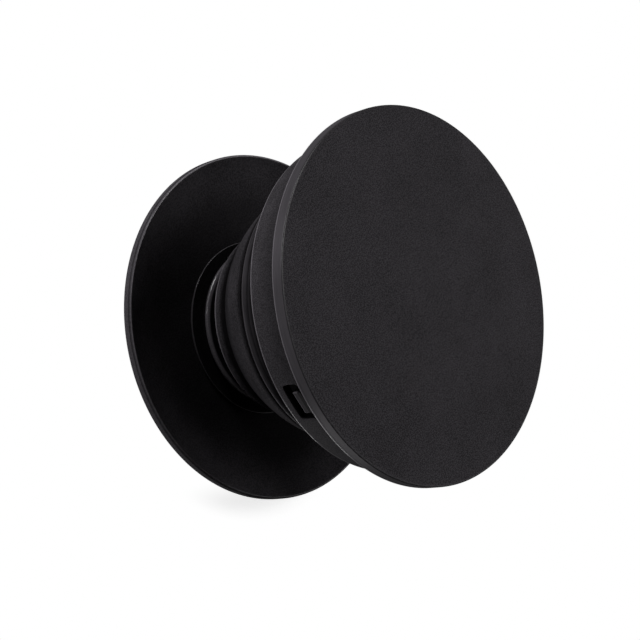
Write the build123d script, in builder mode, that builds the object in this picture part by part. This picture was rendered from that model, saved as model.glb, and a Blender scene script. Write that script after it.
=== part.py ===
"""Collapsible phone grip: a dished base, a rubber accordion and a snap-on round cap.

Millimetres. The origin is the centre of the adhesive face, and +Z runs along the grip's axis to the
cap. The grip is drawn pulled out, as it is held. The cap's two snap hooks lie on the X axis.
"""

import os

from build123d import *

# Adhesive pad on the back
pad_diameter = 34.0
pad_thickness = 0.8

# Base: a shallow dish, whose back takes the pad
base_diameter = 39.7
base_edge_height = 1.1
base_edge_bevel = 0.2
base_web = 0.7
dish_floor_diameter = 27.0
dish_depth = 2.2
pad_recess_depth = 0.3
pad_clearance = 0.2
pad_lip = 0.6

# Pivot: a hollow hub in the dish, where the snap foot turns
stem_diameter = 8.8
pivot_clearance = 0.08
hub_web = 0.7
hub_wall = 1.0
pocket_clearance = 1.0
finger_clearance = 0.15

# Snap foot: a hollow rivet with sprung fingers
head_clearance = 0.7
head_thickness = 0.8
finger_count = 4
finger_thickness = 1.5
finger_slot = 1.0
hook_reach = 0.75
hook_height = 0.65
hook_lead = 0.35

# Accordion: diameters of its rings, from the base to the cap, and the steps between them
foot_diameter = 20.0
root_diameter = 16.7
crest_diameter = 17.7
neck_diameter = 16.4
shelf_diameter = 21.3
bead_diameter = 22.3
wall_foot_diameter = 22.7
hinge_diameter = 28.7
throat_foot_diameter = 28.6
throat_diameter = 29.0
groove_depth = 0.3
lip_overhang = 0.1
land_width = 0.2
flange_width = 1.2

# Accordion: how far its round stretches stand off the straight line between their ends
crest_stand = 0.15
waist_depth = 0.45
wall_bulge = 0.35
lip_stand = 0.35

# Accordion: how far each stretch rises, from the base to the cap
foot_rim_rise = 0.25
root_rise = 0.65
crest_lead = 0.25
crest_rise = 0.5
neck_lead = 0.2
neck_rise = 2.6
shelf_rise = 0.5
bead_rise = 1.25
waist_rise = 1.3
wall_rise = 5.95
groove_lead = 0.2
hinge_rise = 0.3
lip_lead = 0.12
lip_rise = 0.8
land_rise = 0.28
throat_rise = 8.2
flange_thickness = 1.2

# Accordion: wall, floor and the clearances round the hub
accordion_wall = 0.9
fold_wall = 0.7
accordion_floor = 0.8
foot_clearance = 0.05
hub_clearance = 0.2
stem_hole_clearance = 0.15

# Retainer ring: the collar that clamps the accordion's flange
ring_height = 5.5
ring_wall = 0.9
ring_draft = 0.2
ring_edge_bevel = 0.15
ledge_thickness = 0.9
ledge_clearance = 0.4
window_width = 3.95
window_height = 1.9
window_corner = 0.35
window_drop = 2.55

# Cap, with its snap hooks
cap_diameter = 39.7
cap_thickness = 1.4
cap_edge_bevel = 0.13
arm_thickness = 0.8
arm_width = 2.7
arm_gap = 0.25
ring_gap = 0.15
spigot_height = 0.6
nose_height = 1.25
nose_inset = 0.2
nose_clearance = 0.1
nose_lead = 0.2
arm_slot_clearance = 0.3

# Heights, from the adhesive face up
pad_top = pad_thickness
base_back = pad_top - pad_recess_depth
floor_top = pad_top + base_web
rim_top = floor_top + dish_depth
rim_widest = rim_top - base_edge_height
hook_bottom = pad_top + finger_clearance
hook_top = hook_bottom + hook_height
pocket_top = hook_top + pivot_clearance
hub_top = pocket_top + hub_web
foot_bottom = floor_top + foot_clearance
foot_floor = hub_top + foot_clearance
foot_floor_top = foot_floor + accordion_floor
head_top = foot_floor_top + head_thickness
rim_z = foot_bottom + foot_rim_rise
root_z = rim_z + root_rise
crest_foot_z = root_z + crest_lead
crest_z = crest_foot_z + crest_rise
neck_foot_z = crest_z + neck_lead
neck_z = neck_foot_z + neck_rise
shelf_z = neck_z + shelf_rise
bead_z = shelf_z + bead_rise
waist_z = bead_z + waist_rise
wall_z = waist_z + wall_rise
groove_z = wall_z + groove_lead
hinge_z = groove_z + hinge_rise
lip_foot_z = hinge_z + lip_lead
lip_z = lip_foot_z + lip_rise
throat_z = lip_z + land_rise
ledge_top = throat_z + throat_rise
cap_back = ledge_top + flange_thickness
ring_bottom = cap_back - ring_height
window_top = cap_back - window_drop
nose_top = window_top - nose_clearance

# Radii that follow from the fits
pad_radius = pad_diameter / 2
stem_radius = stem_diameter / 2
hole_radius = stem_radius + pivot_clearance
hook_radius = stem_radius + hook_reach
pocket_radius = hook_radius + pocket_clearance
hub_radius = pocket_radius + hub_wall
neck_bore = neck_diameter / 2 - accordion_wall
head_radius = neck_bore - head_clearance
throat_radius = throat_diameter / 2
flange_radius = throat_radius + flange_width
arm_inner = flange_radius + arm_gap
arm_outer = arm_inner + arm_thickness
ring_inner = arm_outer + ring_gap
ring_outer = ring_inner + ring_wall


# Adhesive pad: a die-cut disc of foam
with BuildPart() as adhesive_pad:
    with BuildSketch():
        Circle(pad_radius)
    extrude(amount=pad_thickness)

# Base: one turned profile, from the pivot hole out over the dish and back under it
base_radius = base_diameter / 2
rim_radius = base_radius - base_edge_bevel
recess_radius = pad_radius + pad_clearance
back_radius = recess_radius + pad_lip
with BuildPart() as base_plate:
    with BuildSketch(Plane.XZ):
        with BuildLine():
            Polyline(
                (hole_radius, pocket_top),
                (hole_radius, hub_top),
                (hub_radius, hub_top),
                (hub_radius, floor_top),
                (dish_floor_diameter / 2, floor_top),
            )
            TangentArc((dish_floor_diameter / 2, floor_top), (rim_radius, rim_top), tangent=(1, 0))
            Polyline(
                (rim_radius, rim_top),
                (base_radius, rim_top - base_edge_bevel),
                (base_radius, rim_widest),
                (back_radius, base_back),
                (recess_radius, base_back),
                (recess_radius, pad_top),
                (pocket_radius, pad_top),
                (pocket_radius, pocket_top),
                (hole_radius, pocket_top),
            )
        make_face()
    revolve(axis=Axis.Z)

# Snap foot: a headed hollow stem, hooked at its end and slit into sprung fingers
bore_radius = stem_radius - finger_thickness
with BuildPart() as snap_foot:
    with BuildSketch(Plane.XZ):
        with BuildLine():
            Polyline(
                (bore_radius, hook_bottom),
                (hook_radius - hook_lead, hook_bottom),
                (hook_radius, hook_bottom + hook_lead),
                (hook_radius, hook_top),
                (stem_radius, hook_top),
                (stem_radius, foot_floor_top),
                (head_radius, foot_floor_top),
                (head_radius, head_top),
                (0, head_top),
                (0, foot_floor_top),
                (bore_radius, foot_floor_top),
                close=True,
            )
        make_face()
    revolve(axis=Axis.Z)
    with BuildSketch(Plane.XY.offset(hook_bottom)):
        with PolarLocations(0, finger_count):
            Rectangle(hook_radius + pocket_clearance, finger_slot, align=(Align.MIN, Align.CENTER))
    extrude(amount=foot_floor_top - hook_bottom, mode=Mode.SUBTRACT)

# Accordion: one turned wall, thick between its folds and thin at them
foot_bore = hub_radius + hub_clearance
stem_hole = stem_radius + stem_hole_clearance
crest_foot = (crest_diameter / 2, crest_foot_z)
crest_top = (crest_diameter / 2, crest_z)
shelf_edge = (shelf_diameter / 2, shelf_z)
bead_top = (bead_diameter / 2, bead_z)
wall_foot = (wall_foot_diameter / 2, waist_z)
wall_head = (hinge_diameter / 2, wall_z)
groove_radius = hinge_diameter / 2 - groove_depth
lip_foot = (hinge_diameter / 2 + lip_overhang, lip_foot_z)
lip_top = (throat_foot_diameter / 2 + land_width, lip_z)
throat_foot = (throat_foot_diameter / 2, throat_z)
groove_bore = groove_radius - fold_wall
bead_bore = bead_diameter / 2 - accordion_wall
throat_bore = throat_radius - accordion_wall
with BuildPart() as accordion:
    with BuildSketch(Plane.XZ):
        with BuildLine():
            Polyline(
                (foot_bore, foot_bottom),
                (foot_diameter / 2, foot_bottom),
                (foot_diameter / 2, rim_z),
                (root_diameter / 2, rim_z),
                (root_diameter / 2, root_z),
                crest_foot,
            )
            SagittaArc(crest_foot, crest_top, -crest_stand)
            Polyline(
                crest_top,
                (neck_diameter / 2, neck_foot_z),
                (neck_diameter / 2, neck_z),
                shelf_edge,
                bead_top,
            )
            SagittaArc(bead_top, wall_foot, waist_depth)
            SagittaArc(wall_foot, wall_head, -wall_bulge)
            Polyline(wall_head, (groove_radius, groove_z), (groove_radius, hinge_z), lip_foot)
            SagittaArc(lip_foot, lip_top, -lip_stand)
            Polyline(
                lip_top,
                throat_foot,
                (throat_radius, ledge_top),
                (flange_radius, ledge_top),
                (flange_radius, cap_back),
                (throat_bore, cap_back),
                (throat_bore, ledge_top),
                (throat_foot_diameter / 2 - accordion_wall, throat_z),
                (groove_bore, hinge_z),
                (groove_bore, groove_z),
                (wall_foot_diameter / 2 - fold_wall, waist_z),
                (bead_bore, bead_z),
                (bead_bore, shelf_z + accordion_wall),
                (neck_bore, neck_z + accordion_wall),
                (neck_bore, foot_floor_top),
                (stem_hole, foot_floor_top),
                (stem_hole, foot_floor),
                (foot_bore, foot_floor),
                (foot_bore, foot_bottom),
            )
        make_face()
    revolve(axis=Axis.Z)

# Retainer ring: a drafted collar with an inner ledge, two windows and two slots for the arms
with BuildPart() as retainer_ring:
    with BuildSketch(Plane.XZ):
        with BuildLine():
            Polyline(
                (ring_inner + ring_edge_bevel, ring_bottom),
                (ring_outer - ring_edge_bevel, ring_bottom),
                (ring_outer, ring_bottom + ring_edge_bevel),
                (ring_outer + ring_draft, cap_back),
                (ring_inner, cap_back),
                (ring_inner, ledge_top),
                (throat_radius + ledge_clearance, ledge_top),
                (throat_radius + ledge_clearance, ledge_top - ledge_thickness),
                (ring_inner, ledge_top - ledge_thickness),
                (ring_inner, ring_bottom + ring_edge_bevel),
                close=True,
            )
        make_face()
    revolve(axis=Axis.Z)
    with BuildSketch(Plane.YZ):
        with Locations((0, window_top)):
            RectangleRounded(
                window_width, window_height, window_corner, align=(Align.CENTER, Align.MAX)
            )
    extrude(amount=cap_diameter, both=True, mode=Mode.SUBTRACT)
    with BuildSketch(Plane.XY.offset(ledge_top)):
        with PolarLocations(flange_radius, 2):
            Rectangle(
                ring_inner - flange_radius,
                arm_width + 2 * arm_slot_clearance,
                align=(Align.MIN, Align.CENTER),
            )
    extrude(amount=-ledge_thickness, mode=Mode.SUBTRACT)

# Cap: a flat disc with a low spigot and two hooked arms
nose_radius = ring_outer - nose_inset
with BuildPart() as cap:
    with BuildSketch(Plane.XY.offset(cap_back)):
        Circle(cap_diameter / 2)
    extrude(amount=cap_thickness)
    chamfer(cap.edges().filter_by(GeomType.CIRCLE), cap_edge_bevel)
    with BuildSketch(Plane.XY.offset(cap_back)):
        Circle(arm_outer)
        Circle(arm_inner, mode=Mode.SUBTRACT)
    extrude(amount=-spigot_height)
    with BuildSketch(Plane.XZ.offset(-arm_width / 2)):
        with BuildLine():
            Polyline(
                (arm_inner, cap_back),
                (arm_inner, nose_top - nose_height),
                (nose_radius - nose_lead, nose_top - nose_height),
                (nose_radius, nose_top - nose_height + nose_lead),
                (nose_radius, nose_top),
                (arm_outer, nose_top),
                (arm_outer, cap_back),
                close=True,
            )
        make_face()
        mirror(about=Plane.YZ)
    extrude(amount=arm_width)

pieces = {
    "adhesive_pad": adhesive_pad,
    "base_plate": base_plate,
    "snap_foot": snap_foot,
    "accordion": accordion,
    "retainer_ring": retainer_ring,
    "cap": cap,
}
os.makedirs("parts", exist_ok=True)
for name, piece in pieces.items():
    piece.part.label = name
    export_step(piece.part, f"parts/{name}.step")
    print(name, round(piece.part.volume), "mm3")
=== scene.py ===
# %% [markdown]
# # A collapsible phone grip, dressed in Blender
#
# The grip is two black discs joined by a rubber accordion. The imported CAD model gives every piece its
# size and place, so this lesson makes only what the eye sees: rounded edges, moulded grain, matt
# rubber and studio light. It starts by loading that model as a fixed frame, in metres.

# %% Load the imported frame
import math
from typing import NamedTuple

import bmesh
import bpy
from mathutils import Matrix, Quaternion, Vector


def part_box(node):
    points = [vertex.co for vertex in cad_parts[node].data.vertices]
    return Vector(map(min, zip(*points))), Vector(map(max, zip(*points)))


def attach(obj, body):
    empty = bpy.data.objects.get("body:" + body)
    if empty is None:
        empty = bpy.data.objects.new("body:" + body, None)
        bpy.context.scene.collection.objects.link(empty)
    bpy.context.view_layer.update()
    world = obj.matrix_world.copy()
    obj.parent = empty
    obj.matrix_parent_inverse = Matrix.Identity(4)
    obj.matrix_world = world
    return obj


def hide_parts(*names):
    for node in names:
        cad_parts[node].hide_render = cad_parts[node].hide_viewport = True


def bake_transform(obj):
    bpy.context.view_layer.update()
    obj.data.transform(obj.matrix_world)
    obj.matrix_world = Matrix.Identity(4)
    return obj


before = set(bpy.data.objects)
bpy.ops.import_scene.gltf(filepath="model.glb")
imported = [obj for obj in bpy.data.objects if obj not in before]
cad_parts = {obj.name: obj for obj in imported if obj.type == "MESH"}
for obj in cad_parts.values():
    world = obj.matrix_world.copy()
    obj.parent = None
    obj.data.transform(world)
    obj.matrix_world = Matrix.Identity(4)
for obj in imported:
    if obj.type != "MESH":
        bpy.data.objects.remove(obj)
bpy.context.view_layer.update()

# %% [markdown]
# ## Outlines with rounded corners
#
# Every large piece of the grip is a turned shape: a flat outline spun round the Z axis. On a black
# object the shape is told by thin highlights, and those need edges with a real little rounding.
# Typing every point of a rounded outline is slow and hard to change. Here an outline is a short list of
# corners in millimetres. Each corner has the radius that the mould gives it, and the stretch that
# leaves it may bulge to the right of the way. The rounding is worked out from that.

# %% Corners and stretches
MM = 0.001
ARC_STEPS = 20


class Corner(NamedTuple):
    """A corner of an outline, in millimetres, and the bulge of the stretch that leaves it."""

    r: float
    z: float
    rounding: float = 0.0
    bulge: float = 0.0

    @property
    def point(self):
        return Vector((self.r, self.z))


def stretch(start, end):
    """Points from one corner to the next, straight or on an arc."""
    chord = end.point - start.point
    if not start.bulge:
        return [start.point, end.point]
    half_turn = 2 * math.atan2(2 * start.bulge, chord.length)
    radius = chord.length / (2 * math.sin(half_turn))
    along = chord.normalized()
    right = Vector((along.y, -along.x))
    middle = (start.point + end.point) / 2
    turns = [half_turn * (2 * i / ARC_STEPS - 1) for i in range(ARC_STEPS + 1)]
    return [
        middle + radius * (math.sin(t) * along + (math.cos(t) - math.cos(half_turn)) * right)
        for t in turns
    ]


def bulge_leaving(start, end, way):
    """The bulge of the arc from one point to another that leaves the first along way."""
    chord = Vector(end) - Vector(start)
    turn = Vector(way).angle_signed(chord)
    return -chord.length / 2 * math.tan(turn / 2)


print("A quarter circle of 1 mm bulges", round(bulge_leaving((0, 0), (1, 1), (1, 0)), 3), "mm")

# %% [markdown]
# A corner is rounded by cutting back the two stretches that meet there and bridging the cut with a small
# curve. A Bevel modifier could do it after the spin, but then each edge would need its own weight. A guard
# point near each end of a straight stretch keeps smooth shading from creeping over the flat faces.

# %% Rounding the corners
ROUND_STEPS = 5
GUARD = 0.05


def cut_back(path, length):
    """The path without its first bit of that length."""
    path = list(path)
    while len(path) > 2 and (path[1] - path[0]).length < length:
        length -= (path[1] - path[0]).length
        path.pop(0)
    path[0] = path[0] + (path[1] - path[0]).normalized() * length
    return path


def guarded(path):
    """A straight path with a guard point near each end; a curved one as it is."""
    way = path[-1] - path[0]
    if len(path) > 2 or way.length < 4 * GUARD:
        return path
    step = way.normalized() * GUARD
    return [path[0], path[0] + step, path[-1] - step, path[-1]]


def outline(corners, closed=True):
    """The points of a rounded outline, in metres, in the half plane of X and Z."""
    paths = [stretch(a, b) for a, b in zip(corners, corners[1:] + corners[:1])]
    inner = range(len(corners)) if closed else range(1, len(corners) - 1)
    if not closed:
        paths.pop()
    for i in inner:
        way_in = paths[i - 1][-1] - paths[i - 1][-2]
        way_out = paths[i][1] - paths[i][0]
        back = corners[i].rounding * math.tan(way_in.angle(way_out) / 2)
        paths[i - 1] = cut_back(paths[i - 1][::-1], back)[::-1]
        paths[i] = cut_back(paths[i], back)
    points = []
    for i, path in enumerate(paths):
        points += guarded(path)
        follower = (i + 1) % len(corners)
        if follower in inner and corners[follower].rounding:
            start, knee, end = path[-1], corners[follower].point, paths[follower % len(paths)][0]
            for k in range(1, ROUND_STEPS):
                t = k / ROUND_STEPS
                points.append((1 - t) ** 2 * start + 2 * t * (1 - t) * knee + t * t * end)
    return [Vector((p.x, 0, p.y)) * MM for p in points]


wedge = [Corner(1, 0, 0.1), Corner(2, 0, 0.1), Corner(2, 1, 0.1)]
print("A rounded wedge of 3 corners has", len(outline(wedge)), "points")

# %% [markdown]
# ## One bench for both kinds of node tree
#
# Materials and Geometry Nodes are both trees of nodes. One small class adds a node of any type to a
# tree, and another wraps an output so that sums on it are written as plain Python. Writing
# `0.4 + 0.1 * grain` then adds the two Math nodes by itself, which reads far better than links.

# %% Signals and the bench


class Signal:
    """A node's output, which takes part in sums as a number would."""

    def __init__(self, bench, socket):
        self.bench = bench
        self.socket = socket

    def math(self, operation, first, second=0.0):
        """A Math node's output for one or two values."""
        return self.bench.node("ShaderNodeMath", {"operation": operation}, {0: first, 1: second})

    def __add__(self, other):
        return self.math("ADD", self, other)

    def __radd__(self, other):
        return self.math("ADD", other, self)

    def __sub__(self, other):
        return self.math("SUBTRACT", self, other)

    def __rsub__(self, other):
        return self.math("SUBTRACT", other, self)

    def __mul__(self, other):
        return self.math("MULTIPLY", self, other)

    def __rmul__(self, other):
        return self.math("MULTIPLY", other, self)

    def __truediv__(self, other):
        return self.math("DIVIDE", self, other)

    def __rtruediv__(self, other):
        return self.math("DIVIDE", other, self)

    def __abs__(self):
        return self.math("ABSOLUTE", self)


class Bench:
    """A node tree to work on."""

    def __init__(self, tree):
        self.tree = tree
        tree.nodes.clear()

    @staticmethod
    def socket(sockets, key):
        """The socket with that identifier, or else with that name or number."""
        return next((s for s in sockets if s.identifier == key), None) or sockets[key]

    def node(self, kind, settings=None, inputs=None, output=0):
        """Adds a node, sets it up, feeds its sockets and gives back one of its outputs."""
        made = self.tree.nodes.new(kind)
        for name, value in (settings or {}).items():
            setattr(made, name, value)
        for key, value in (inputs or {}).items():
            socket = self.socket(made.inputs, key)
            if isinstance(value, Signal):
                self.tree.links.new(value.socket, socket)
            else:
                socket.default_value = value
        return Signal(self, self.socket(made.outputs, output)) if len(made.outputs) else made


trial = bpy.data.node_groups.new("trial", "ShaderNodeTree")
grain_tone = 0.4 + 0.1 * Bench(trial).node("ShaderNodeValue")
print("A sum of two steps made", len(trial.nodes) - 1, grain_tone.socket.node.bl_label, "nodes")
bpy.data.node_groups.remove(trial)

# %% [markdown]
# ## Spinning an outline with Geometry Nodes
#
# A Screw modifier could spin the outline. Geometry Nodes do it here because the same tree then serves
# five pieces, with its sizes as named inputs. Curve to Mesh carries the outline along a circle, and each
# ring of points lies exactly in its own half plane. The tree ends in Realize Instances and Set Material,
# and the result is baked to a plain mesh.

# %% The start and end of every tree


def new_tree(name, inputs):
    """A Geometry Nodes tree with named inputs and one output, with its bench and its input signals."""
    tree = bpy.data.node_groups.new(name, "GeometryNodeTree")
    for label, kind in inputs.items():
        tree.interface.new_socket(label, in_out="INPUT", socket_type=kind)
    tree.interface.new_socket("Piece", in_out="OUTPUT", socket_type="NodeSocketGeometry")
    bench = Bench(tree)
    entry = bench.node("NodeGroupInput")
    taps = {s.name: Signal(bench, s) for s in entry.socket.node.outputs if s.name}
    return tree, bench, taps


def finish_tree(bench, geometry, material):
    """The last nodes of every tree: plain geometry with its material."""
    plain = bench.node("GeometryNodeRealizeInstances", {}, {"Geometry": geometry})
    painted = bench.node("GeometryNodeSetMaterial", {}, {"Geometry": plain, "Material": material})
    bench.node("NodeGroupOutput", {}, {"Piece": painted})


print("Every tree gives one geometry: Piece")

# %% The spinning tree
SEAM_REACH = MM / 1000


def spinning_tree():
    """A tree that carries an outline round Z on a circular rail."""
    tree, bench, taps = new_tree("spun_outline", {
        "Outline": "NodeSocketGeometry",
        "Segments": "NodeSocketInt",
        "Rail": "NodeSocketFloat",
        "Finish": "NodeSocketMaterial",
    })
    shift = bench.node("ShaderNodeCombineXYZ", {}, {"X": 0 - taps["Rail"]})
    flat = bench.node("GeometryNodeTransform", {}, {
        "Geometry": taps["Outline"],
        "Translation": shift,
        "Rotation": (math.pi / 2, 0, 0),
    })
    profile = bench.node("GeometryNodeMeshToCurve", {}, {"Mesh": flat})
    circle = bench.node("GeometryNodeCurvePrimitiveCircle", {}, {
        "Resolution": taps["Segments"],
        "Radius": taps["Rail"],
    })
    shell = bench.node("GeometryNodeCurveToMesh", {}, {"Curve": circle, "Profile Curve": profile})
    closed = bench.node("GeometryNodeMergeByDistance", {}, {"Geometry": shell, "Distance": SEAM_REACH})
    smooth = bench.node("GeometryNodeSetShadeSmooth", {}, {"Geometry": closed})
    finish_tree(bench, smooth, taps["Finish"])
    return tree


spun_outline = spinning_tree()
print("Inputs of the spinning tree:", [s.name for s in spun_outline.interface.items_tree])

# %% [markdown]
# A modifier's inputs are set by each socket's identifier, before the object is first evaluated. Baking
# takes the evaluated mesh, turns its faces outwards and leaves an object with no modifier.

# %% Dressing an object with a tree, and baking it


def new_object(name, points, edges=(), faces=()):
    """An object from plain points, linked to the scene."""
    mesh = bpy.data.meshes.new(name)
    mesh.from_pydata(points, edges, faces)
    made = bpy.data.objects.new(name, mesh)
    bpy.context.scene.collection.objects.link(made)
    return made


def dress(piece, tree, **values):
    """Adds the tree as a modifier, with its named inputs set."""
    modifier = piece.modifiers.new(tree.name, "NODES")
    modifier.node_group = tree
    for socket in tree.interface.items_tree:
        if socket.name.lower() in values:
            modifier[socket.identifier] = values[socket.name.lower()]


def bake(piece):
    """Turns a piece and its modifiers into one plain mesh with its faces outwards."""
    ready = piece.evaluated_get(bpy.context.evaluated_depsgraph_get())
    mesh = bpy.data.meshes.new_from_object(ready)
    work = bmesh.new()
    work.from_mesh(mesh)
    bmesh.ops.recalc_face_normals(work, faces=work.faces)
    open_edges = sum(not e.is_manifold for e in work.edges)
    volume = work.calc_volume() / MM ** 3
    work.to_mesh(mesh)
    work.free()
    piece.modifiers.clear()
    piece.data = mesh
    mesh.name = piece.name
    print(f"{piece.name}: {len(mesh.polygons)} faces, {volume:.0f} mm3, {open_edges} open edges")
    return piece


# %% Spinning a piece
SEGMENTS = 256
RAIL = 10 * MM


def spin(name, corners, material, closed=True):
    """A turned piece from the corners of its outline. An open outline starts and ends on the axis."""
    points = outline(corners, closed)
    count = len(points)
    edges = [(i, (i + 1) % count) for i in range(count if closed else count - 1)]
    piece = new_object(name, points, edges)
    dress(piece, spun_outline, segments=SEGMENTS, rail=RAIL, finish=material)
    return bake(piece)


print("Turned pieces have", SEGMENTS, "segments, one every", 360 / SEGMENTS, "degrees")

# %% [markdown]
# ## Where a point lies on the grip
#
# On this black object, pale edges are painted highlights, on the rubber along with wear, dark hollows are
# painted shade, and the mould leaves a grain. All of that depends on where a point lies, so every finish
# starts from two numbers, the distance from the axis and the height, both in millimetres. Soft ramps and
# bands of these pick out an edge or a fold. Painting such a mask by hand would break as soon as a size
# changed.

# %% Places and masks


def new_finish(name):
    """A new material and its bench."""
    material = bpy.data.materials.new(name)
    material.use_nodes = True
    return material, Bench(material.node_tree)


def object_place(bench):
    """Where a point lies on its piece, in metres."""
    return bench.node("ShaderNodeTexCoord", {}, {}, "Object")


def stretched(bench, place, factors):
    """The place with each axis multiplied by its own factor."""
    return bench.node("ShaderNodeVectorMath", {"operation": "MULTIPLY"}, {0: place, 1: factors})


def reach_and_height(bench, place):
    """A point's distance from the axis and its height, in millimetres."""
    flat = stretched(bench, place, (1, 1, 0))
    reach = bench.node("ShaderNodeVectorMath", {"operation": "LENGTH"}, {0: flat}, "Value")
    height = bench.node("ShaderNodeSeparateXYZ", {}, {"Vector": place}, "Z")
    return reach / MM, height / MM


def ramp(signal, start, end):
    """0 up to start, 1 from end on, and a smooth rise between."""
    return signal.bench.node("ShaderNodeMapRange", {"interpolation_type": "SMOOTHSTEP"}, {
        "Value": signal, "From Min": start, "From Max": end,
    })


def band(signal, low, high, soft):
    """1 from low to high, with soft sides outside them."""
    return ramp(signal, low - soft, low) * (1 - ramp(signal, high, high + soft))


print("Masks:", ramp.__name__, band.__name__)

# %% [markdown]
# Three kinds of noise give the surfaces their life. Clouds are broad and soft. A speckle is the grain of the
# mould. Lines are clouds squeezed along Z, so that they run round the axis as turning and wiping leave them.

# %% Noise
LINE_SQUEEZE = 14
SPECKLE_CONTRAST = 0.15


def noise(bench, place, size, detail=3.0, roughness=0.5):
    """Cloudy noise about 0 whose spots are about that many millimetres wide."""
    cloud = bench.node("ShaderNodeTexNoise", {}, {
        "Vector": place, "Scale": 1 / (size * MM), "Detail": detail, "Roughness": roughness,
    })
    return cloud - 0.5


def speckle(bench, place, size):
    """Grain of about that many millimetres: noise pulled apart into pale and dark spots."""
    return ramp(noise(bench, place, size, detail=1.0), -SPECKLE_CONTRAST, SPECKLE_CONTRAST) - 0.5


def round_lines(bench, place, size, detail, roughness=0.5):
    """Noise drawn out into fine lines round the axis."""
    squeezed = stretched(bench, place, (1, 1, LINE_SQUEEZE))
    return noise(bench, squeezed, size, detail, roughness)


print("Kinds of noise:", noise.__name__, speckle.__name__, round_lines.__name__)

# %% [markdown]
# The shader itself is the same for every black piece. One number, the tone, says how pale the surface is,
# and a colour mix turns it into a black with a breath of violet. The rest is a weak, rough gloss, a clear
# coat where the surface is polished, and a bump.

# %% From a tone to a finish
INK = (0.97, 0.90, 1.0)
POLISH_ROUGHNESS = 0.15


def close_finish(bench, tone, gloss, roughness, height, depth, polish=0.0):
    """Links tone, roughness, polish and a bump, whose depth is in millimetres, to the surface."""
    colour = bench.node("ShaderNodeMix", {"data_type": "RGBA"}, {
        "Factor_Float": tone, "A_Color": (0, 0, 0, 1), "B_Color": (*INK, 1),
    }, "Result_Color")
    normal = bench.node("ShaderNodeBump", {}, {"Strength": 1.0, "Distance": depth * MM, "Height": height})
    shader = bench.node("ShaderNodeBsdfPrincipled", {}, {
        "Base Color": colour, "Roughness": roughness, "Normal": normal,
        "Specular IOR Level": gloss, "Specular Tint": (*INK, 1),
        "Coat Weight": polish, "Coat Roughness": POLISH_ROUGHNESS,
    })
    bench.node("ShaderNodeOutputMaterial", {}, {"Surface": shader})


print("The palest ink:", INK)

# %% [markdown]
# ## Black moulded plastic
#
# The cap, the collar and the base are black plastic. Their mould leaves a fine grain, about an eighth of a
# millimetre wide on the cap and the collar, and a little coarser on the base. Broad faint clouds lie over
# it, as skin and dust leave them. A mask follows an edge best when it takes the edge's place from the
# solid itself, so the boxes of the solids come first.

# %% Sizes that the finishes follow


def box_in_mm(node):
    """The lowest and the highest corner of a node's solid, in millimetres."""
    low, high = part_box(node)
    return low / MM, high / MM


cap_low, cap_high = box_in_mm("cap")
ring_low, ring_high = box_in_mm("retainer_ring")
base_low, base_high = box_in_mm("base_plate")
cap_radius = cap_high.x
cap_front = cap_high.z
cap_back = ring_high.z
ring_bottom = ring_low.z
base_radius = base_high.x
rim_top = base_high.z
print("Cap", round(cap_back, 2), "to", round(cap_front, 2), "mm, rim up to", round(rim_top, 2), "mm")

# %% [markdown]
# The cap's side is smoother than its face and has fine lines along it, and it is painted paler than the
# face, a painted sheen. Its back edge is painted pale as a highlight and polished, and its front edge is
# painted dark as a shade line and a little polished. Everything below the cap's back is painted nearly
# black as shade, apart from the fronts of the two noses that show in the windows. The tops of the noses are
# painted dark as shade, and their feet and flanks are the palest, as painted highlights. Here and below, a
# pair of numbers says where a mask starts and where it is full, in millimetres.

# %% Cap plastic
FACE_TONE = 0.029
SIDE_SHEEN_TONE = 0.031
NOSE_TONE = 0.025
NOSE_SKIN = (17.3, 17.5)
NOSE_SHADE = (22.95, 23.0)
NOSE_FOOT = (22.45, 22.55)
NOSE_FLANK = (1.17, 1.22)


def nose_masks(bench, place, reach, height):
    """The front of the hooks' noses below their painted shade, and its foot and flanks as painted highlights.
    """
    across = abs(bench.node("ShaderNodeSeparateXYZ", {}, {"Vector": place}, "Y")) / MM
    # The top of each nose is cut off as painted shade, and its foot and flanks carry painted highlights.
    front = ramp(reach, *NOSE_SKIN) * (1 - ramp(height, *NOSE_SHADE))
    edges = 1 - ramp(height, *NOSE_FOOT) * (1 - ramp(across, *NOSE_FLANK))
    return front, front * edges


def cap_plastic():
    material, bench = new_finish("cap_plastic")
    place = object_place(bench)
    reach, height = reach_and_height(bench, place)
    grain = speckle(bench, place, size=0.12)
    clouds = noise(bench, place, size=6.0, detail=2.0)
    lines = round_lines(bench, place, size=4.0, detail=2.0)
    # The side is painted paler than the face as a painted sheen, and the back edge gets a painted highlight.
    side = ramp(reach, cap_radius - 0.12, cap_radius - 0.05) * ramp(height, cap_back - 0.1, cap_back)
    painted_edge_highlight = side * (1 - ramp(height, cap_back + 0.14, cap_back + 0.22))
    outermost = ramp(reach, cap_radius - 0.25, cap_radius - 0.18)
    # The front edge is painted dark as a shade line.
    shaded_front_edge = outermost * ramp(height, cap_front - 0.12, cap_front - 0.06)
    # Everything below the cap's back is painted nearly black as shade, apart from the noses' fronts.
    shade_under_cap = 1 - ramp(height, cap_back - 0.4, cap_back)
    nose, nose_edge_highlight = nose_masks(bench, place, reach, height)
    face_grain = grain * (1 - side)
    face = FACE_TONE * (1 + 1.3 * face_grain + clouds) * (1 - 0.3 * shaded_front_edge)
    edge = side * (SIDE_SHEEN_TONE + 0.03 * lines) * (1 - 0.8 * shaded_front_edge) + 0.08 * painted_edge_highlight
    hooks = shade_under_cap * (NOSE_TONE * nose + 0.06 * nose_edge_highlight)
    close_finish(
        bench, tone=face * (1 - 0.97 * shade_under_cap) + edge + hooks, gloss=0.12,
        roughness=0.62 + 0.2 * clouds - 0.15 * side, height=face_grain, depth=0.004,
        polish=0.5 * painted_edge_highlight + 0.3 * shaded_front_edge,
    )
    return material


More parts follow.
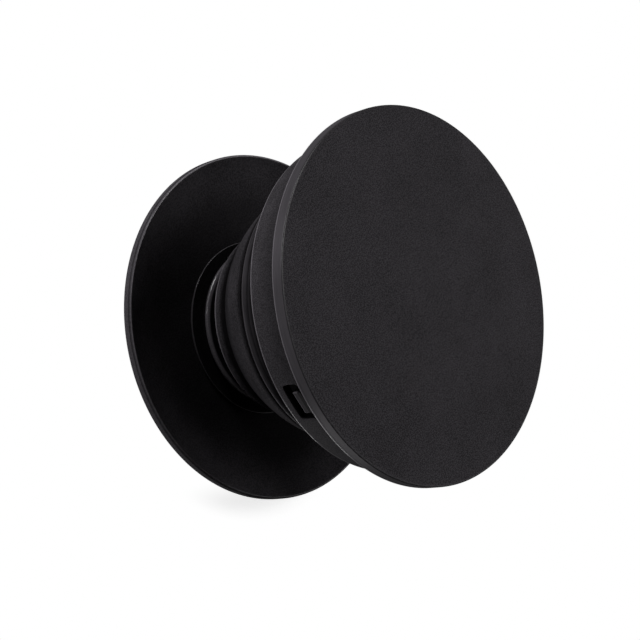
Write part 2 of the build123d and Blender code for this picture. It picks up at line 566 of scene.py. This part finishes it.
cap_finish = cap_plastic()
print("Plastic:", cap_finish.name)

# %% [markdown]
# The collar is painted darker towards the cap, as painted shade where the cap would shade it, and its lower
# edge is painted pale as a highlight and polished. Only its outer skin is given a tone, so the walls of
# the windows are painted black as shade.

# %% Collar plastic
COLLAR_TONE = 0.038
COLLAR_SKIN = (17.5, 17.72)


def collar_plastic():
    material, bench = new_finish("collar_plastic")
    place = object_place(bench)
    reach, height = reach_and_height(bench, place)
    grain = speckle(bench, place, size=0.125)
    clouds = noise(bench, place, size=2.5, detail=4.0, roughness=0.6)
    # Only the outer skin gets a tone, so the window walls and the inside are painted black as shade.
    skin = ramp(reach, *COLLAR_SKIN)
    # Painted shade darkens the collar towards the cap.
    painted_cap_shade = ramp(height, ring_bottom + 0.3, cap_back - 1.8)
    # The lower edge gets a painted highlight, and it is polished.
    painted_edge_highlight = 1 - ramp(height, ring_bottom + 0.14, ring_bottom + 0.26)
    plain = COLLAR_TONE * (1 + 0.8 * grain + 0.9 * clouds) * (1 - 0.5 * painted_cap_shade)
    close_finish(
        bench, tone=(plain + 0.12 * painted_edge_highlight) * skin, gloss=0.1,
        roughness=0.65 + 0.2 * clouds, height=grain, depth=0.006, polish=painted_edge_highlight,
    )
    return material


collar_finish = collar_plastic()
print("Plastic:", collar_finish.name)

# %% [markdown]
# The base's dish is painted paler up its slope, as painted light: shade near the accordion and light towards
# the rim. Its rim is painted paler still, a painted sheen, with fine lines. The bevel on top of the rim is
# painted pale as a highlight and polished, with a painted shade line under it. That pale ring round the
# dark dish is the line that the eye follows.

# %% Base plastic
DISH_TONE = 0.015
RIM_SHEEN_TONE = 0.019
DISH_PAINTED_LIGHT = (13, 19)


def base_plastic():
    material, bench = new_finish("base_plastic")
    place = object_place(bench)
    reach, height = reach_and_height(bench, place)
    grain = speckle(bench, place, size=0.17)
    clouds = noise(bench, place, size=5.0, detail=4.0, roughness=0.6)
    lines = round_lines(bench, place, size=3.0, detail=2.0)
    rim = ramp(reach, base_radius - 0.3, base_radius - 0.1)
    bevel = ramp(reach, base_radius - 0.25, base_radius - 0.22)
    # The bevel gets a painted highlight.
    painted_edge_highlight = bevel * ramp(height, rim_top - 0.13, rim_top - 0.09)
    # A painted shade line lies just under the bevel.
    under = rim * band(height, rim_top - 0.34, rim_top - 0.22, 0.06)
    # The dish is painted paler towards the rim as painted light, darker near the accordion as painted shade.
    dish = DISH_TONE * (1 + 0.6 * grain + 1.2 * clouds) * (1 + 1.6 * ramp(reach, *DISH_PAINTED_LIGHT))
    # The rim is painted paler than the dish as a painted sheen.
    plain = (dish + rim * (RIM_SHEEN_TONE + 0.03 * lines)) * (1 - 0.6 * under)
    close_finish(
        bench, tone=plain + 0.06 * painted_edge_highlight, gloss=0.05,
        roughness=0.7 + 0.2 * clouds, height=grain, depth=0.005, polish=0.9 * painted_edge_highlight,
    )
    return material


base_finish = base_plastic()
print("Plastic:", base_finish.name)

# %% [markdown]
# ## Matt rubber
#
# The accordion is moulded rubber, and fine streaks run round it. Its raised edges are painted pale, partly
# as wear from fingers and partly as painted highlights, and they are polished; the edge of its foot gets a
# painted highlight too. Its folds and the throat under the collar are painted black as shade. Each fold
# shade and each edge is a zone of height with its own share. When the grip folds, the wall moves, so this
# finish reads a rest place stored on the mesh instead of the object's own coordinates, and the streaks
# stay on the wall.

# %% Painted fold shade, and edges with wear and painted highlights, on the rubber
REST_PLACE = "rest_place"


class Zone(NamedTuple):
    """A zone of height, in millimetres: how much it counts, its two ends, and how soft they are."""

    share: float
    low: float
    high: float
    soft: float


# Zones of painted shade: the foot, the neck, the waist, the hinge groove and the throat under the collar.
PAINTED_FOLD_SHADE = (
    Zone(0.8, 1.5, 2.4, 0.2),
    Zone(0.95, 3.3, 6.3, 0.1),
    Zone(0.55, 8.1, 9.5, 0.6),
    Zone(0.4, 8.4, 10.2, 1.8),
    Zone(0.75, 14.95, 15.3, 0.8),
    Zone(0.75, 16.7, 17.8, 0.4),
    Zone(0.97, 18.2, 26.5, 0.4),
)
# Zones of edges painted pale, partly as wear and partly as painted highlights.
WEAR_AND_HIGHLIGHT_EDGES = (
    Zone(0.6, 2.75, 3.22, 0.08),
    Zone(1.0, 6.4, 6.7, 0.3),
    Zone(0.2, 15.7, 15.95, 0.15),
)


def zones(height, marks):
    """How much of the zones lies at a height."""
    return sum(zone.share * band(height, zone.low, zone.high, zone.soft) for zone in marks)


print("Zones:", len(PAINTED_FOLD_SHADE), "folds and", len(WEAR_AND_HIGHLIGHT_EDGES), "worn edges")

# %% Rubber
RUBBER_TONE = 0.03
FOOT_RADIUS = 10.0
FOOT_EDGE = (1.9, 2.0)
GRAIN_END = (15.0, 15.5)


def matt_rubber():
    material, bench = new_finish("matt_rubber")
    place = bench.node("ShaderNodeAttribute", {"attribute_name": REST_PLACE}, {}, "Vector")
    reach, height = reach_and_height(bench, place)
    streaks = round_lines(bench, place, size=3.0, detail=4.0, roughness=0.6)
    grain = speckle(bench, place, size=0.17) * (1 - ramp(height, *GRAIN_END))
    clouds = noise(bench, place, size=4.0, detail=4.0, roughness=0.6)
    fold = zones(height, PAINTED_FOLD_SHADE)
    wear_and_highlight = zones(height, WEAR_AND_HIGHLIGHT_EDGES)
    # The edge of the foot gets a painted highlight.
    foot = ramp(reach, FOOT_RADIUS - 0.1, FOOT_RADIUS - 0.03) * (1 - ramp(height, *FOOT_EDGE))
    # Painted fold shade darkens the tone in the folds.
    plain = RUBBER_TONE * (1 + 1.6 * streaks + clouds + 0.9 * grain) * (1 - fold)
    close_finish(
        bench, tone=plain + 0.13 * wear_and_highlight + 0.07 * foot, gloss=0.05,
        roughness=0.6 + 0.3 * streaks + 0.4 * fold, height=grain, depth=0.004,
        polish=ramp(wear_and_highlight, 0.0, 0.5) + foot,
    )
    return material


rubber_finish = matt_rubber()
print("Rubber:", rubber_finish.name)

# %% [markdown]
# ## Foam
#
# The pad on the back is dense black foam whose open cells show as small pits. Voronoi cells are round
# and packed like bubbles, so they suit foam better than cloudy noise does.

# %% Foam
CELL_SIZE = 0.35


def pad_foam():
    material, bench = new_finish("pad_foam_cells")
    place = object_place(bench)
    cells = bench.node("ShaderNodeTexVoronoi", {}, {"Vector": place, "Scale": 1 / (CELL_SIZE * MM)})
    clouds = noise(bench, place, size=4.0)
    close_finish(
        bench, tone=0.03 + 0.02 * cells + 0.02 * clouds, gloss=0.05,
        roughness=0.8 + 0.2 * clouds, height=cells, depth=0.05,
    )
    return material


foam_finish = pad_foam()
print("Foam:", foam_finish.name)

# %% [markdown]
# ## The base
#
# The base is a shallow dish that the folded accordion nests in. Its rim curls down to the phone, and a hub
# with a bore in its middle takes the snap foot. Its outline follows the CAD piece corner by corner, and the
# edge of the rim gets the small radius that shows as a bright line round the dish.

# %% Base plate
pad_high = box_in_mm("adhesive_pad")[1]
bore_radius = 4.48
hub_radius = 7.15
hub_top = 2.38
pocket_radius = 6.15
pocket_top = 1.68
floor_top = rim_top - 2.2
dish_edge = 13.5
rim_bevel = 0.2
rim_widest = rim_top - 1.1
rim_start = (base_radius - rim_bevel, rim_top)
dish_bulge = bulge_leaving((dish_edge, floor_top), rim_start, (1, 0))
back_radius = 17.8
recess_radius = 17.2
base_plate = spin("base_dish", [
    Corner(bore_radius, pocket_top, 0.05),
    Corner(bore_radius, hub_top, 0.05),
    Corner(hub_radius, hub_top, 0.05),
    Corner(hub_radius, floor_top, 0.1),
    Corner(dish_edge, floor_top, 0.0, dish_bulge),
    Corner(*rim_start, 0.12),
    Corner(base_radius, rim_top - rim_bevel, 0.12),
    Corner(base_radius, rim_widest, 0.2),
    Corner(back_radius, base_low.z, 0.06),
    Corner(recess_radius, base_low.z, 0.06),
    Corner(recess_radius, pad_high.z, 0.05),
    Corner(pocket_radius, pad_high.z, 0.05),
    Corner(pocket_radius, pocket_top, 0.05),
], base_finish)
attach(base_plate, "base")
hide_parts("base_plate")

# %% [markdown]
# ## The adhesive pad and the snap foot
#
# The pad is a die-cut foam disc, a little soft at its edges. It lies flat between the base and the phone,
# so it is turned and not puffed up as a cushion would be.
# The snap foot is hidden inside, so the CAD piece stays and only takes the plastic's finish.

# %% Pad and snap foot
pad = spin("adhesive_disc", [
    Corner(0, pad_high.z),
    Corner(pad_high.x, pad_high.z, 0.06),
    Corner(pad_high.x, 0, 0.12),
    Corner(0, 0),
], foam_finish, closed=False)
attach(pad, "base")
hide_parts("adhesive_pad")
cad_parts["snap_foot"].material_slots[0].material = base_finish

# %% [markdown]
# ## The accordion
#
# This is the piece that makes the grip fold. Thick walls stay stiff, and thin grooves between them bend,
# so it snaps flat into the collar. From the base up it has a flat foot, a small crest, an undercut neck,
# a rounded bead, a bulged wall, a hinge groove, a lip and a throat that runs up to a flange in the
# collar. One outline holds them all, each as a few corners of its own.

# %% Outer side of the accordion
accordion_low, accordion_high = box_in_mm("accordion")
foot_bottom = accordion_low.z
foot_top = 1.8
root_radius = 7.35
flange_radius = accordion_high.x
flange_bottom = 24.9
flange_top = accordion_high.z
foot = [
    Corner(root_radius, foot_bottom, 0.05),
    Corner(FOOT_RADIUS, foot_bottom, 0.06),
    Corner(FOOT_RADIUS, foot_top, 0.06),
    Corner(8.35, foot_top, 0.1),
]
crest = [Corner(8.35, 2.45, 0.1), Corner(8.85, 2.7, 0.05, 0.15), Corner(8.85, 3.2, 0.05)]
neck = [Corner(8.2, 3.4, 0.2), Corner(8.2, 6.0, 0.25)]
bead = [Corner(10.65, 6.5, 0.12), Corner(11.15, 7.75, 0.5, -0.45)]
wall = [Corner(11.35, 9.05, 1.2, 0.35), Corner(14.35, 15.0, 0.1)]
hinge = [Corner(14.05, 15.2, 0.06), Corner(14.05, 15.5, 0.06)]
lip = [Corner(14.45, 15.62, 0.06, 0.35), Corner(14.5, 16.42, 0.05)]
throat = [Corner(14.3, 16.7, 0.1), Corner(14.5, flange_bottom, 0.1)]
flange = [Corner(flange_radius, flange_bottom, 0.08), Corner(flange_radius, flange_top, 0.08)]
outer_side = foot + crest + neck + bead + wall + hinge + lip + throat + flange
print("The outer side has", len(outer_side), "corners")

# %% [markdown]
# The inner side follows the outer one down at about the thickness of the wall, and ends in a thin floor
# that the snap foot clamps to the base. The piece crosses the joint that folds the grip, and its rest place
# is stored on its points.

# %% Accordion
floor_bottom = 2.43
floor_surface = 3.23
floor_radius = 4.55
inner_side = [
    Corner(13.6, flange_top, 0.08),
    Corner(13.6, flange_bottom, 0.3),
    Corner(13.4, 16.7, 0.2),
    Corner(13.35, 15.5, 0.2),
    Corner(13.35, 15.2, 0.2),
    Corner(10.65, 9.05, 0.3),
    Corner(10.25, 7.75, 0.2),
    Corner(10.25, 7.4, 0.1),
    Corner(7.3, 6.9, 0.3),
    Corner(7.3, floor_surface, 0.05),
    Corner(floor_radius, floor_surface, 0.05),
    Corner(floor_radius, floor_bottom, 0.05),
    Corner(root_radius, floor_bottom, 0.05),
]
accordion = spin("accordion_folds", outer_side + inner_side, rubber_finish)
rest = accordion.data.attributes.new(REST_PLACE, "FLOAT_VECTOR", "POINT")
rest.data.foreach_set("vector", [x for vertex in accordion.data.vertices for x in vertex.co])
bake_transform(accordion)
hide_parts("accordion")

# %% [markdown]
# ## The collar, with its two windows
#
# The collar clamps the accordion's top under the cap. Two windows let the cap's hooks snap in, and two slots
# let their arms pass the inner ledge. Both repeat round the ring, so a second tree places a cutter at even
# angles and cuts it away. The same tree can join a tool to a body, which the cap needs for its hooks.

# %% The tree that places a tool round the axis


def round_tree(name, operation):
    """A tree that cuts or joins copies of a tool, spaced evenly round Z, from or to a body."""
    tree, bench, taps = new_tree(name, {
        "Body": "NodeSocketGeometry",
        "Tool": "NodeSocketObject",
        "Count": "NodeSocketInt",
        "Finish": "NodeSocketMaterial",
    })
    tool = bench.node("GeometryNodeObjectInfo", {}, {"Object": taps["Tool"]}, "Geometry")
    places = bench.node("GeometryNodePoints", {}, {"Count": taps["Count"]})
    turn = bench.node("GeometryNodeInputIndex") * (2 * math.pi) / taps["Count"]
    turned = bench.node("ShaderNodeCombineXYZ", {}, {"Z": turn})
    copies = bench.node("GeometryNodeInstanceOnPoints", {}, {
        "Points": places, "Instance": tool, "Rotation": turned,
    })
    tools = bench.node("GeometryNodeRealizeInstances", {}, {"Geometry": copies})
    how = {"operation": operation, "solver": "EXACT"}
    result = bench.node("GeometryNodeMeshBoolean", how, {"Mesh 2": tools})
    body_socket = "Mesh 1" if operation == "DIFFERENCE" else "Mesh 2"
    tree.links.new(taps["Body"].socket, result.socket.node.inputs[body_socket])
    finish_tree(bench, result, taps["Finish"])
    return tree


cut_round = round_tree("cut_round", "DIFFERENCE")
join_round = round_tree("join_round", "UNION")
print("Tool trees:", cut_round.name, join_round.name)

# %% [markdown]
# The cutters are straight prisms. A window is a rounded rectangle seen along X, and a slot is a plain one.

# %% Prisms for cutters and hooks
CORNER_STEPS = 6


def prism(name, flat, near, far):
    """A straight prism along X whose flat outline is a list of Y and Z, all in millimetres."""
    points = [Vector((x, y, z)) * MM for x in (near, far) for y, z in flat]
    count = len(flat)
    sides = [(i, (i + 1) % count, (i + 1) % count + count, i + count) for i in range(count)]
    ends = [tuple(reversed(range(count))), tuple(range(count, 2 * count))]
    return new_object(name, points, (), sides + ends)


def rounded_box(left, right, low, high, corner):
    """A rounded rectangle, as a list of Y and Z."""
    quarter = math.pi / 2
    turns = [quarter * k / CORNER_STEPS for k in range(CORNER_STEPS + 1)]
    knees = [
        (right - corner, high - corner, 0), (left + corner, high - corner, 1),
        (left + corner, low + corner, 2), (right - corner, low + corner, 3),
    ]
    return [
        (y + corner * math.cos(t + q * quarter), z + corner * math.sin(t + q * quarter))
        for y, z, q in knees for t in turns
    ]


window_top = 23.9
opening = rounded_box(left=-2.35, right=1.95, low=21.65, high=window_top, corner=0.45)
print("The window's outline has", len(opening), "points")

# %% [markdown]
# The ring is spun first, with the ledge that carries the flange. The cutters then take out the windows
# and the slots, and a small Bevel modifier softens the edges that they leave, before it is baked again.

# %% Collar
HOOKS = 2
ring_inner = 16.9
ring_taper = 0.2
ledge_radius = 14.9
ledge_bottom = 24.0
collar = spin("collar_ring", [
    Corner(ring_inner, ring_bottom, 0.15),
    Corner(ring_high.x - ring_taper, ring_bottom, 0.15),
    Corner(ring_high.x, ring_high.z, 0.05),
    Corner(ring_inner, ring_high.z, 0.05),
    Corner(ring_inner, flange_bottom, 0.05),
    Corner(ledge_radius, flange_bottom, 0.08),
    Corner(ledge_radius, ledge_bottom, 0.08),
    Corner(ring_inner, ledge_bottom, 0.1),
], collar_finish)

# %% Windows and slots
slot_half = 1.65
slot_top = 25.0
slot_side = [
    (slot_half, window_top), (slot_half, slot_top), (-slot_half, slot_top), (-slot_half, window_top),
]
window = prism("window_cutter", opening, near=16, far=19)
slot = prism("slot_cutter", slot_side, near=15.7, far=16.93)
for tool in (window, slot):
    dress(collar, cut_round, tool=tool, count=HOOKS, finish=collar_finish)
edge = collar.modifiers.new("window_edge", "BEVEL")
edge.width = 0.03 * MM
edge.segments = 2
edge.limit_method = "ANGLE"
edge.angle_limit = math.radians(50)
bake(collar)
bpy.data.objects.remove(window)
bpy.data.objects.remove(slot)
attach(collar, "top")
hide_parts("retainer_ring")

# %% [markdown]
# ## The cap, with its two hooks
#
# The cap is a flat disc. A low spigot on its back centres it in the collar, and two sprung arms reach down to
# the windows with a hooked nose. The fine line round its edge is where the two halves of the mould
# met. The second tree joins the arms to the disc, so the cap is one closed shell, as it was moulded.

# %% Cap
arm_inner = 15.95
arm_outer = 16.75
spigot_height = 0.6
parting_z = cap_back + 0.43
parting_half = 0.03
parting_depth = 0.02
cap = spin("cap_disc", [
    Corner(0, cap_front),
    Corner(cap_radius, cap_front, 0.13),
    Corner(cap_radius, parting_z + parting_half),
    Corner(cap_radius - parting_depth, parting_z),
    Corner(cap_radius, parting_z - parting_half),
    Corner(cap_radius, cap_back, 0.1),
    Corner(arm_outer, cap_back, 0.05),
    Corner(arm_outer, cap_back - spigot_height, 0.06),
    Corner(arm_inner, cap_back - spigot_height, 0.06),
    Corner(arm_inner, cap_back, 0.05),
    Corner(0, cap_back),
], cap_finish, closed=False)

# %% [markdown]
# A hook is drawn from the side, as a nose at the foot of a straight arm. It stands a hundredth of a
# millimetre inside the spigot's walls and runs into the disc, so that the two shells cross cleanly where
# they are joined.

# %% Hooks
arm_width = 2.5
inset = 0.01
root_z = cap_back + 0.1
nose_radius = 17.6
nose_top = 23.45
nose_chamfer = 0.2
hook_side = [
    (arm_inner + inset, root_z), (arm_inner + inset, cap_low.z), (nose_radius - nose_chamfer, cap_low.z),
    (nose_radius, cap_low.z + nose_chamfer), (nose_radius, nose_top), (arm_outer - inset, nose_top),
    (arm_outer - inset, root_z),
]
hook = prism("hook", hook_side, near=-arm_width / 2, far=arm_width / 2)
# A prism runs along X, but a hook's width lies along Y, so the two are swapped.
for vertex in hook.data.vertices:
    y, x, z = vertex.co
    vertex.co = (x, y, z)
work = bmesh.new()
work.from_mesh(hook.data)
bmesh.ops.recalc_face_normals(work, faces=work.faces)
bmesh.ops.bevel(work, geom=work.edges, offset=0.05 * MM, segments=2, affect="EDGES", profile=0.5)
work.to_mesh(hook.data)
work.free()
dress(cap, join_round, tool=hook, count=HOOKS, finish=cap_finish)
bake(cap)
bpy.data.objects.remove(hook)
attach(cap, "top")
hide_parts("cap")
print("The nose shows in the window from", round(cap_low.z, 2), "to", nose_top, "mm")

# %% [markdown]
# ## The camera
#
# The camera stands where the photograph was taken from: in front of the cap and to one side, with the
# grip lying on its side in the picture. It is placed in the CAD frame, aimed near the middle of the
# accordion, and rolled until the grip lies as the photograph shows it.

# %% Camera
camera_place = Vector((100.13, -51.96, 125.91)) * MM
camera_aim = Vector((1.27, -0.03, 12.87)) * MM
camera_roll = math.radians(78.84)
lens = bpy.data.cameras.new("camera")
lens.lens = 81.56
lens.clip_start = 1 * MM
camera = bpy.data.objects.new("camera", lens)
camera.location = camera_place
camera.rotation_mode = "QUATERNION"
level = (camera_aim - camera_place).to_track_quat("-Z", "Y")
camera.rotation_quaternion = level @ Quaternion((0, 0, 1), camera_roll)
bpy.context.scene.collection.objects.link(camera)
bpy.context.scene.camera = camera
print("Camera distance:", round((camera_aim - camera_place).length, 4), "m")

# %% [markdown]
# ## The floor
#
# The grip stands on a white floor. A plain white floor would throw light back on the black discs and
# still come out grey beside them, so this one glows white for the camera and throws no light. Close to
# the base, on one side, it is part glow and part matt paint, and there it shows the soft shadow. Seen
# from below it is clear, so that the back of the base can be looked at.

# %% Floor
FLOOR_REACH = 2.0
SHADOW_FADE = (20, 22.5)
SHADOW_WAY = (0.42, 0.91, 0)
SHADOW_START = (15, 19)
SHADED_GLOW = 0.8
PAINT = (0.8, 0.8, 0.8, 1)
floor = new_object("floor", [
    (-FLOOR_REACH, -FLOOR_REACH, 0), (FLOOR_REACH, -FLOOR_REACH, 0),
    (FLOOR_REACH, FLOOR_REACH, 0), (-FLOOR_REACH, FLOOR_REACH, 0),
], (), [(0, 1, 2, 3)])


def white_floor():
    material, bench = new_finish("white_floor")
    place = object_place(bench)
    reach = reach_and_height(bench, place)[0]
    dot = {"operation": "DOT_PRODUCT"}
    away = bench.node("ShaderNodeVectorMath", dot, {0: place, 1: SHADOW_WAY}, "Value") / MM
    shade = (1 - ramp(reach, *SHADOW_FADE)) * ramp(away, *SHADOW_START)
    white = bench.node("ShaderNodeEmission", {}, {"Strength": 1.0})
    glow = bench.node("ShaderNodeEmission", {}, {"Strength": SHADED_GLOW})
    matt = bench.node("ShaderNodeBsdfDiffuse", {}, {"Color": PAINT})
    shaded = bench.node("ShaderNodeAddShader", {}, {0: glow, 1: matt})
    above = bench.node("ShaderNodeMixShader", {}, {"Fac": shade, 1: white, 2: shaded})
    clear = bench.node("ShaderNodeBsdfTransparent")
    from_below = bench.node("ShaderNodeNewGeometry", {}, {}, "Backfacing")
    shown = bench.node("ShaderNodeMixShader", {}, {"Fac": from_below, 1: above, 2: clear})
    bench.node("ShaderNodeOutputMaterial", {}, {"Surface": shown})
    return material


floor.data.materials.append(white_floor())
floor.visible_shadow = False
floor.visible_diffuse = False
floor.visible_glossy = False
print("Floor:", floor.data.materials[0].name)

# %% [markdown]
# ## The backdrop
#
# The backdrop is the world itself, white for the camera and through anything clear. In reflections it is
# a dim room, because black plastic that mirrored a white one would look grey all over.

# %% World
ROOM_IN_GLOSS = 0.08
world = bpy.data.worlds.new("studio")
world.use_nodes = True
sky = Bench(world.node_tree)
seen = sky.node("ShaderNodeLightPath", {}, {}, "Is Camera Ray")
mirrored = sky.node("ShaderNodeLightPath", {}, {}, "Is Glossy Ray")
through = sky.node("ShaderNodeLightPath", {}, {}, "Is Transmission Ray")
backdrop = sky.node("ShaderNodeBackground", {}, {
    "Color": (1, 1, 1, 1), "Strength": seen + through + ROOM_IN_GLOSS * mirrored,
})
sky.node("ShaderNodeOutputWorld", {}, {"Surface": backdrop})
bpy.context.scene.world = world
bpy.context.scene.view_settings.view_transform = "Standard"
print("World:", world.name)

# %% [markdown]
# ## The lamps
#
# Black is lit by what it reflects, so large soft lamps stand round the grip, and each has an edge to draw.
# They are placed by the picture's own directions: right, up and near, towards the camera. That makes it
# easy to see in the photograph where a highlight comes from, and to put the lamp there.

# %% Lamps
LAMP_DISTANCE = 0.5


def softbox(name, right, up, near, watts, size=0.25):
    """A square lamp in a direction of the picture, aimed at the grip."""
    way = camera.rotation_quaternion @ Vector((right, up, near)).normalized()
    lamp = bpy.data.lights.new(name, "AREA")
    lamp.size = size
    lamp.energy = watts
    box = bpy.data.objects.new(name, lamp)
    box.location = camera_aim + way * LAMP_DISTANCE
    box.rotation_mode = "QUATERNION"
    box.rotation_quaternion = way.to_track_quat("Z", "Y")
    box.visible_camera = False
    bpy.context.scene.collection.objects.link(box)


softbox("key", right=0.81, up=0.42, near=0.41, watts=1.14)
softbox("right", right=0.99, up=0.09, near=-0.08, watts=0.21)
softbox("left_up", right=-0.75, up=0.50, near=0.43, watts=1.62)
softbox("below", right=-0.40, up=-0.85, near=-0.30, watts=0.6)
softbox("glint", right=-0.27, up=0.86, near=0.42, watts=0.8, size=0.15)
softbox("top_right", right=0.30, up=0.95, near=0.00, watts=0.18)
